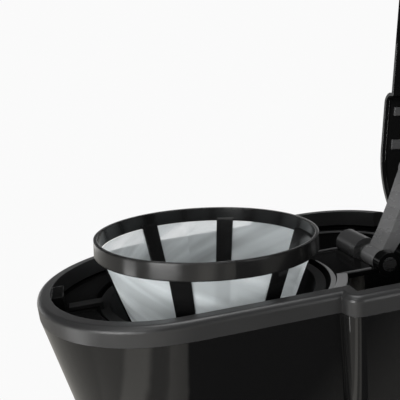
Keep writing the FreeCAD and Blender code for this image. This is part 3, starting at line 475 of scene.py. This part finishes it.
backdrop = {"white": (0.957, 0.957, 0.957, 1), "fill": 0.35, "sky": (0.012, 0.5), "skyRange": (0.7, 0.95),
            "skyTone": (0.94, 0.97, 1, 1)}
ground = {"reach": 6.0, "dark": (0.6, 0.6, 0.6), "light": (0.64, 0.64, 0.64), "grain": 40.0,
          "plain": (0.45, 1.0), "plainRange": (0.12, 0.42)}
room = {"heart": (-0.04, -0.32), "warm": (1.0, 0.97, 0.9), "stops": (
    (0, 0.42), (0.333, 0.42), (0.381, 0.52), (0.467, 0.52), (0.478, 1.0), (0.514, 1.1), (0.522, 0.35), (0.542, 0.35),
    (0.547, 0.7), (0.568, 0.5), (0.5695, 0.01), (0.625, 0.01), (0.642, 0.25), (0.889, 0.25), (0.958, 0.42))}


def roomLight(flow, place):
    # how light the room is in each direction round the machine, for reflections only
    x, y, _ = place.split()
    turn = flow.maths("ARCTAN2", y - brewY - room["heart"][1], x - room["heart"][0])
    turn = spread(flow, turn, 0.0, 1.0, -math.pi, math.pi)
    ramp = flow.tree.nodes.new("ShaderNodeValToRGB")
    flow.tree.links.new(turn.out, ramp.inputs[0])
    marks = ramp.color_ramp.elements
    marks.remove(marks[1])
    for at, light in room["stops"][1:]:
        marks.new(at)
    for mark, (at, light) in zip(marks, room["stops"]):
        mark.position = at
        mark.color = (*[light * share for share in room["warm"]], 1)
    return Flow(flow.tree, ramp.outputs[0])


def makeWorld():
    world = bpy.data.worlds.new("studio")
    scene.world = world
    world.use_nodes = True
    world.node_tree.nodes.clear()
    flow = Flow(world.node_tree)
    seen = flow.add("ShaderNodeLightPath", out=0)
    glossy = flow.add("ShaderNodeLightPath", out=3)
    through = flow.add("ShaderNodeLightPath", out=6)
    fill = flow.add("ShaderNodeBackground", {"Color": (1, 1, 1, 1), "Strength": backdrop["fill"]})
    height = flow.add("ShaderNodeTexCoord").split()[2]
    sky = spread(flow, height, *backdrop["sky"], *backdrop["skyRange"])
    dim = flow.add("ShaderNodeBackground", {"Color": backdrop["skyTone"], "Strength": sky})
    white = flow.add("ShaderNodeBackground", {"Color": backdrop["white"], "Strength": 1.0})
    mixed = flow.add("ShaderNodeMixShader", {0: glossy, 1: fill, 2: dim})
    mixed = flow.add("ShaderNodeMixShader", {0: flow.maths("MAXIMUM", seen, through), 1: mixed, 2: white})
    flow.add("ShaderNodeOutputWorld", {"Surface": mixed})


def makeFloor():
    reach = ground["reach"]
    mesh = bpy.data.meshes.new("floor")
    corners = [(-reach, -reach, 0), (reach, -reach, 0), (reach, reach, 0), (-reach, reach, 0)]
    mesh.from_pydata(corners, [], [(0, 1, 2, 3)])
    made, flow = blank("paleFloor")
    seen = flow.add("ShaderNodeLightPath", out=0)
    glossy = flow.add("ShaderNodeLightPath", out=3)
    place = flow.add("ShaderNodeTexCoord", out=3)
    away = flow.add("ShaderNodeVectorMath", {0: place}, out=1, operation="LENGTH")
    plain = spread(flow, away, *ground["plain"], *ground["plainRange"])
    tone = tint(flow, noise(flow, ground["grain"]), ground["dark"], ground["light"])
    pale = flow.add("ShaderNodeBsdfDiffuse", {"Color": tone})
    mirrored = flow.add("ShaderNodeEmission", {"Color": roomLight(flow, place), "Strength": 1.0})
    white = flow.add("ShaderNodeEmission", {"Color": backdrop["white"], "Strength": 1.0})
    lit = flow.add("ShaderNodeMixShader", {0: glossy, 1: pale, 2: mirrored})
    close(flow, flow.add("ShaderNodeMixShader", {0: seen * plain, 1: lit, 2: white}))
    mesh.materials.append(made)
    floor = bpy.data.objects.new("floor", mesh)
    scene.collection.objects.link(floor)


def softbox(name, place, aim, size, power):
    data = bpy.data.lights.new(name, "AREA")
    data.shape = "RECTANGLE"
    data.size, data.size_y = size
    data.energy = power
    lamp = bpy.data.objects.new(name, data)
    lamp.location = level(*place)
    lamp.rotation_mode = "QUATERNION"
    lamp.rotation_quaternion = (Vector(aim) - Vector(place)).to_track_quat("-Z", "Y")
    lamp.visible_camera = False
    scene.collection.objects.link(lamp)


makeWorld()
makeFloor()
softbox("overhead", (-0.15, 0.1, 1.1), (0, 0, 0), (0.6, 0.6), 4.5)
softbox("nearKey", (0.6, -0.6, 0.9), (0, 0, 0.02), (0.5, 0.5), 2.2)
softbox("frontFill", (0.6, -0.78, 0.08), (0, 0, 0), (0.5, 0.4), 6)
softbox("sideFill", (0.8, 0.55, 0.1), (0, 0, 0), (0.4, 0.4), 1.6)
softbox("farWall", (-1.1, -0.2, 0.0), (0, -0.2, 0), (2.4, 0.5), 3)
softbox("lowCard", (0.02, -0.5, -0.16), (0.03, 0, -0.05), (0.12, 0.22), 0.3)
print("stage: studio")

shot = {"sensor": 36, "lens": 52.76, "shift": 0.10375, "place": (0.2999, -0.0596, 0.1018),
        "right": (0.2130, 0.9707, -0.1106), "up": (-0.2480, 0.1632, 0.9546)}


def photoCamera():
    data = bpy.data.cameras.new("photoCamera")
    data.sensor_width = shot["sensor"]
    data.lens = shot["lens"]
    data.shift_y = shot["shift"]
    data.clip_start = 0.01
    right, up = Vector(shot["right"]).normalized(), Vector(shot["up"])
    up = (up - right * up.dot(right)).normalized()
    turn = Matrix((right, up, right.cross(up))).transposed()
    made = bpy.data.objects.new("photoCamera", data)
    made.matrix_world = Matrix.Translation(level(*shot["place"])) @ turn.to_4x4()
    scene.collection.objects.link(made)
    scene.camera = made


photoCamera()
print("stage: camera")
